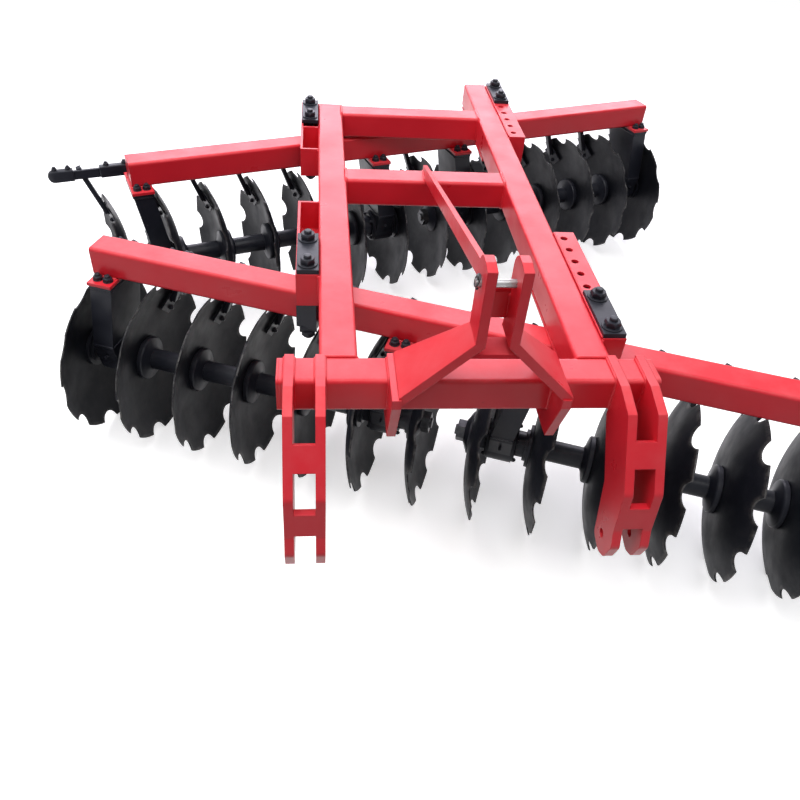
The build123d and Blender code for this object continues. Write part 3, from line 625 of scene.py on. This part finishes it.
# Level shelf between the legs of the mast: its section is a trapezium that follows their slope
middle = (SHELF_LOW + SHELF_HIGH) / 2
corner = np.array(
    [(-68, SHELF_LOW), (68, SHELF_LOW), (54, SHELF_HIGH), (-54, SHELF_HIGH)], float
)
ring = np.concatenate([corner * (1 - k) + np.roll(corner, -1, 0) * k for k in (0.02, 0.98)], 1)
ring = ring.reshape(-1, 2) - (0, middle)
reach_y = np.array([-91, -91, -90, -17, -16, -16], float)
grow = np.array([0, 0.985, 1, 1, 0.985, 0])
section = grow[:, None, None] * ring
depth = np.repeat(reach_y[:, None], len(ring), 1)
points = np.stack([MAST + section[..., 0], depth, TOP + middle + section[..., 1]], -1)
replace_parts(piece("mast_shelf", [sheet(points)], MATT_RED), "mast_back")

# Rounded lip on the top of the mast's web, behind the pin
lip = [(MAST - EAR_IN, -4, TOP + 311), (MAST + EAR_IN, -4, TOP + 311)]
piece("mast_web_lip", [strap(lip, (0, 1, 0), wide=18, deep=14)], MATT_RED)


# Studio
def area_light(name, spot, target, size, power, tint=(1.0, 1.0, 1.0)):
    """A square soft lamp at a spot, turned to a target."""
    light = bpy.data.lights.new(name, "AREA")
    light.shape = "RECTANGLE"
    light.size, light.size_y = size
    light.energy = power
    light.color = tint
    obj = bpy.data.objects.new(name, light)
    bpy.context.scene.collection.objects.link(obj)
    aim = np.array(target, float) - np.array(spot, float)
    back = -aim / np.linalg.norm(aim)
    side = np.cross((0.0, 1.0, 0.0) if abs(back[2]) > 0.9 else (0.0, 0.0, 1.0), back)
    side /= np.linalg.norm(side)
    turn = np.eye(4)
    turn[:3, 0], turn[:3, 1], turn[:3, 2], turn[:3, 3] = side, np.cross(back, side), back, spot
    obj.matrix_world = Matrix(turn.tolist())


area_light("key", (-2.3, -0.4, 5.4), (0.0, 0.0, 0.7), (4.8, 4.8), 270.0)
area_light("top", (1.3, -2.4, 5.6), (0.1, -0.8, 0.8), (4.0, 4.0), 120.0)
area_light("back", (0.5, 7.5, 5.2), (0.0, 0.5, 0.8), (9.0, 7.0), 840.0, (0.9, 0.86, 1.0))
area_light("side", (-4.2, -4.4, 2.6), (-0.2, -0.8, 0.6), (3.0, 3.0), 22.0)


def seen_ray(tree):
    """1 for what the camera sees, also in a reflection or through glass, else 0: the sum of the
    three kinds of ray, held at 1."""
    path = tree.nodes.new("ShaderNodeLightPath")
    total = path.outputs["Is Camera Ray"]
    for kind in ("Is Glossy Ray", "Is Transmission Ray"):
        both = tree.nodes.new("ShaderNodeMath")
        both.use_clamp = True
        tree.links.new(total, both.inputs[0])
        tree.links.new(path.outputs[kind], both.inputs[1])
        total = both.outputs[0]
    return total


# White sky where it is seen, and a dim one as light on the object
world = bpy.data.worlds.new("studio")
bpy.context.scene.world = world
world.use_nodes = True
sky = world.node_tree
sky.nodes.clear()
strength = sky.nodes.new("ShaderNodeMapRange")
sky.links.new(seen_ray(sky), strength.inputs["Value"])
strength.inputs["To Min"].default_value = 0.19
strength.inputs["To Max"].default_value = 1.0
backdrop = sky.nodes.new("ShaderNodeBackground")
backdrop.inputs["Color"].default_value = (1.0, 1.0, 1.0, 1.0)
sky.links.new(strength.outputs["Result"], backdrop.inputs["Strength"])
sky.links.new(backdrop.outputs[0], sky.nodes.new("ShaderNodeOutputWorld").inputs[0])

# Floor that takes the shadow near the harrow and passes into the white sky far from it
floor_mesh = bpy.data.meshes.new("floor")
floor_mesh.from_pydata(
    [(-20, -12, 0), (20, -12, 0), (20, 28, 0), (-20, 28, 0)], [], [(0, 1, 2, 3)]
)
floor = bpy.data.objects.new("floor", floor_mesh)
bpy.context.scene.collection.objects.link(floor)
pale = Paint("floor_pale")
seen = seen_ray(pale.tree)
axes = pale.split(pale.mapped((0.0, 0.0, 0.0), 0.0))
away = pale.math("SQRT", pale.squares(axes["X"], axes["Y"]))
distant = pale.span(away, 3.0, 9.0)
white = pale.mix(pale.noise(0.6, 3.0), (0.88, 0.88, 0.88), (0.92, 0.92, 0.92))
white = pale.mix(distant, white, (0.0, 0.0, 0.0))
pale.set(Base_Color=pale.mix(seen, (0.15, 0.15, 0.15), white), Roughness=0.9)
pale.set(Specular_IOR_Level=0.0)
glow = pale.math("MULTIPLY", seen, pale.math("ADD", pale.math("MULTIPLY", distant, 0.5), 0.5))
pale.set(Emission_Color=(1.0, 1.0, 1.0, 1.0), Emission_Strength=glow)
floor_mesh.materials.append(pale.mat)

# Camera at the photograph's place
yaw, pitch, roll = (math.radians(a) for a in (8.15, 41.29, 5.24))
ahead = np.array(
    [math.sin(yaw) * math.cos(pitch), math.cos(yaw) * math.cos(pitch), -math.sin(pitch)]
)
right = np.array([math.cos(yaw), -math.sin(yaw), 0.0])
above = np.cross(right, ahead)
pose = np.eye(4)
pose[:3, 0] = math.cos(roll) * right + math.sin(roll) * above
pose[:3, 1] = -math.sin(roll) * right + math.cos(roll) * above
pose[:3, 2] = -ahead
pose[:3, 3] = (-0.4873, -2.8579, 2.2911)
lens = bpy.data.cameras.new("camera")
lens.lens = 34.239
camera = bpy.data.objects.new("camera", lens)
bpy.context.scene.collection.objects.link(camera)
camera.matrix_world = Matrix(pose.tolist())
bpy.context.scene.camera = camera
bpy.context.scene.view_settings.view_transform = "Standard"
